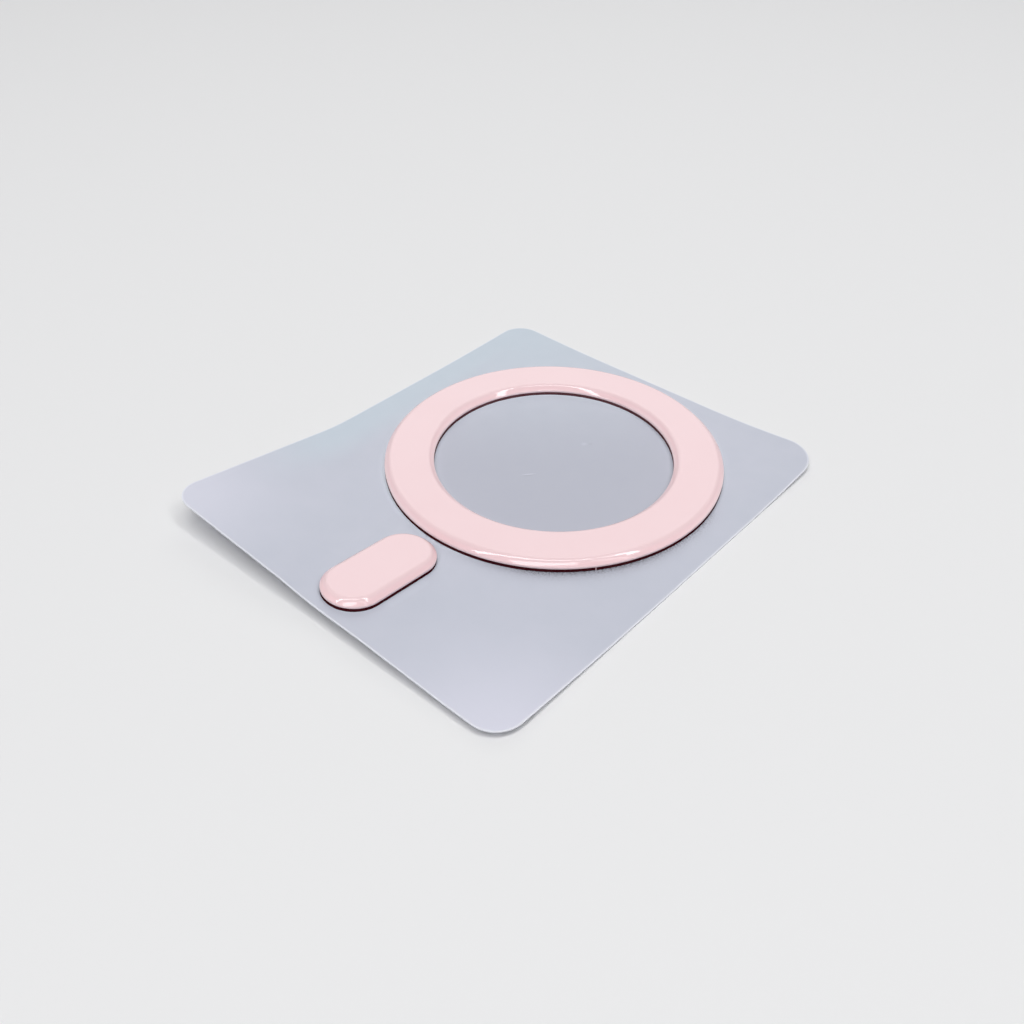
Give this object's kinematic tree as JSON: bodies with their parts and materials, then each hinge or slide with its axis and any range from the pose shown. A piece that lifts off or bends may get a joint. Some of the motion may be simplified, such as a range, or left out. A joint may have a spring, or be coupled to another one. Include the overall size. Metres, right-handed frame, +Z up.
{
  "type": "magnetic phone mount plate set",
  "caption": "Bevelled pink enamelled steel ring and matching rounded bar for a magnetic phone mount, each on a dark adhesive pad, carried in line on a curled frosted release liner.",
  "frame": {"origin": "on the table under the middle of the liner's outline", "axes": "+Z up out of the plates' faces, +Y along the liner from the bar to the ring, +X to the right as seen from the bar's end"},
  "size_m": [0.0676, 0.081, 0.0044],
  "materials": {
    "pink_enamel": "glossy pale pink enamel over steel",
    "dark_adhesive": "maroon-black adhesive pad with a clean cut edge",
    "frosted_film": "milky frosted film with a satin face"
  },
  "bodies": {
    "root": {"release_liner": "frosted_film", "ring_adhesive": "dark_adhesive", "ring_plate": "pink_enamel", "bar_adhesive": "dark_adhesive", "bar_plate": "pink_enamel"}
  },
  "joints": []
}
